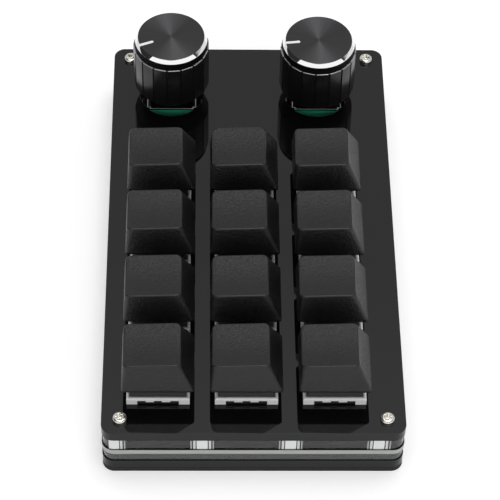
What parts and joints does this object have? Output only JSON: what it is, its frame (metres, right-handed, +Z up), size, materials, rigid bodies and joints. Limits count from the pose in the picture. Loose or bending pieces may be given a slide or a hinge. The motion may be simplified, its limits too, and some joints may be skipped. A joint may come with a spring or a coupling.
{
  "type": "macro keypad with knobs",
  "caption": "Desk macro keypad: a grid of sprung mechanical keys and push-and-turn knobs on a sandwich case of black and clear sheet, with a USB socket at the back.",
  "frame": {"origin": "centre of the case's outline, on the surface that the keypad stands on", "axes": "+X to the right, +Y to the back, where the knobs and the USB socket are, +Z up"},
  "size_m": [0.075, 0.1316, 0.0381],
  "materials": {
    "black_acrylic": "polished black acrylic sheet",
    "clear_acrylic": "clear acrylic sheet with sawn edges",
    "circuit_board": "black solder mask, bare pale edge",
    "mat_rubber": "matt black",
    "nickel_steel": "nickel plated",
    "chip_plastic": "moulded epoxy",
    "contact_brass": "tinned brass",
    "switch_black": "moulded nylon",
    "switch_milky": "milky translucent plastic",
    "encoder_green": "moulded green plastic",
    "encoder_metal": "cast and turned, bare",
    "rotor_plastic": "moulded, natural",
    "knob_aluminium": "black anodised, spun top, polished chamfer",
    "set_screw_steel": "black oxide",
    "keycap_black": "fine grained black plastic",
    "stem_brown": "moulded, satin",
    "spring_steel": "gold-plated spring wire"
  },
  "bodies": {
    "case": {"top_plate": "black_acrylic", "upper_spacer": "clear_acrylic", "circuit_board": "circuit_board", "lower_spacer": "clear_acrylic", "base_plate": "black_acrylic", "anti_slip_mat": "mat_rubber", "corner_screws": "nickel_steel", "corner_nuts": "nickel_steel", "usb_socket": "nickel_steel", "controller_chip": "chip_plastic", "diodes": "chip_plastic", "contact_pins": "contact_brass", "switch_bases": "switch_milky", "switch_covers": "switch_black", "encoder_bases": "encoder_green", "encoder_covers": "encoder_metal", "spring_1": "spring_steel", "spring_2": "spring_steel", "spring_3": "spring_steel", "spring_4": "spring_steel", "spring_5": "spring_steel", "spring_6": "spring_steel", "spring_7": "spring_steel", "spring_8": "spring_steel", "spring_9": "spring_steel", "spring_10": "spring_steel", "spring_11": "spring_steel", "spring_12": "spring_steel"},
    "key_1": {"keycap_1": "keycap_black", "stem_1": "stem_brown"},
    "key_2": {"keycap_2": "keycap_black", "stem_2": "stem_brown"},
    "key_3": {"keycap_3": "keycap_black", "stem_3": "stem_brown"},
    "key_4": {"keycap_4": "keycap_black", "stem_4": "stem_brown"},
    "key_5": {"keycap_5": "keycap_black", "stem_5": "stem_brown"},
    "key_6": {"keycap_6": "keycap_black", "stem_6": "stem_brown"},
    "key_7": {"keycap_7": "keycap_black", "stem_7": "stem_brown"},
    "key_8": {"keycap_8": "keycap_black", "stem_8": "stem_brown"},
    "key_9": {"keycap_9": "keycap_black", "stem_9": "stem_brown"},
    "key_10": {"keycap_10": "keycap_black", "stem_10": "stem_brown"},
    "key_11": {"keycap_11": "keycap_black", "stem_11": "stem_brown"},
    "key_12": {"keycap_12": "keycap_black", "stem_12": "stem_brown"},
    "rotor_left": {"encoder_rotor_left": "rotor_plastic"},
    "dial_left": {"encoder_shaft_left": "encoder_metal", "knob_left": "knob_aluminium", "set_screw_left": "set_screw_steel"},
    "rotor_right": {"encoder_rotor_right": "rotor_plastic"},
    "dial_right": {"encoder_shaft_right": "encoder_metal", "knob_right": "knob_aluminium", "set_screw_right": "set_screw_steel"}
  },
  "joints": [
    {"name": "key_1_press", "type": "slide", "parent": "case", "child": "key_1", "axis": [0, 0, -1], "range_m": [0, 0.004], "stiffness_N_per_m": 75, "springref_m": -0.0045, "deforming": ["spring_1"]},
    {"name": "key_2_press", "type": "slide", "parent": "case", "child": "key_2", "axis": [0, 0, -1], "range_m": [0, 0.004], "stiffness_N_per_m": 75, "springref_m": -0.0045, "deforming": ["spring_2"]},
    {"name": "key_3_press", "type": "slide", "parent": "case", "child": "key_3", "axis": [0, 0, -1], "range_m": [0, 0.004], "stiffness_N_per_m": 75, "springref_m": -0.0045, "deforming": ["spring_3"]},
    {"name": "key_4_press", "type": "slide", "parent": "case", "child": "key_4", "axis": [0, 0, -1], "range_m": [0, 0.004], "stiffness_N_per_m": 75, "springref_m": -0.0045, "deforming": ["spring_4"]},
    {"name": "key_5_press", "type": "slide", "parent": "case", "child": "key_5", "axis": [0, 0, -1], "range_m": [0, 0.004], "stiffness_N_per_m": 75, "springref_m": -0.0045, "deforming": ["spring_5"]},
    {"name": "key_6_press", "type": "slide", "parent": "case", "child": "key_6", "axis": [0, 0, -1], "range_m": [0, 0.004], "stiffness_N_per_m": 75, "springref_m": -0.0045, "deforming": ["spring_6"]},
    {"name": "key_7_press", "type": "slide", "parent": "case", "child": "key_7", "axis": [0, 0, -1], "range_m": [0, 0.004], "stiffness_N_per_m": 75, "springref_m": -0.0045, "deforming": ["spring_7"]},
    {"name": "key_8_press", "type": "slide", "parent": "case", "child": "key_8", "axis": [0, 0, -1], "range_m": [0, 0.004], "stiffness_N_per_m": 75, "springref_m": -0.0045, "deforming": ["spring_8"]},
    {"name": "key_9_press", "type": "slide", "parent": "case", "child": "key_9", "axis": [0, 0, -1], "range_m": [0, 0.004], "stiffness_N_per_m": 75, "springref_m": -0.0045, "deforming": ["spring_9"]},
    {"name": "key_10_press", "type": "slide", "parent": "case", "child": "key_10", "axis": [0, 0, -1], "range_m": [0, 0.004], "stiffness_N_per_m": 75, "springref_m": -0.0045, "deforming": ["spring_10"]},
    {"name": "key_11_press", "type": "slide", "parent": "case", "child": "key_11", "axis": [0, 0, -1], "range_m": [0, 0.004], "stiffness_N_per_m": 75, "springref_m": -0.0045, "deforming": ["spring_11"]},
    {"name": "key_12_press", "type": "slide", "parent": "case", "child": "key_12", "axis": [0, 0, -1], "range_m": [0, 0.004], "stiffness_N_per_m": 75, "springref_m": -0.0045, "deforming": ["spring_12"]},
    {"name": "knob_left_turn", "type": "hinge", "parent": "case", "child": "rotor_left", "pos_m": [-0.0213, 0.04885, 0.0161], "axis": [0, 0, 1], "continuous": true},
    {"name": "knob_left_press", "type": "slide", "parent": "rotor_left", "child": "dial_left", "axis": [0, 0, -1], "range_m": [0, 0.0005], "stiffness_N_per_m": 4000, "springref_m": -0.00075},
    {"name": "knob_right_turn", "type": "hinge", "parent": "case", "child": "rotor_right", "pos_m": [0.01855, 0.04885, 0.0161], "axis": [0, 0, 1], "continuous": true},
    {"name": "knob_right_press", "type": "slide", "parent": "rotor_right", "child": "dial_right", "axis": [0, 0, -1], "range_m": [0, 0.0005], "stiffness_N_per_m": 4000, "springref_m": -0.00075}
  ]
}
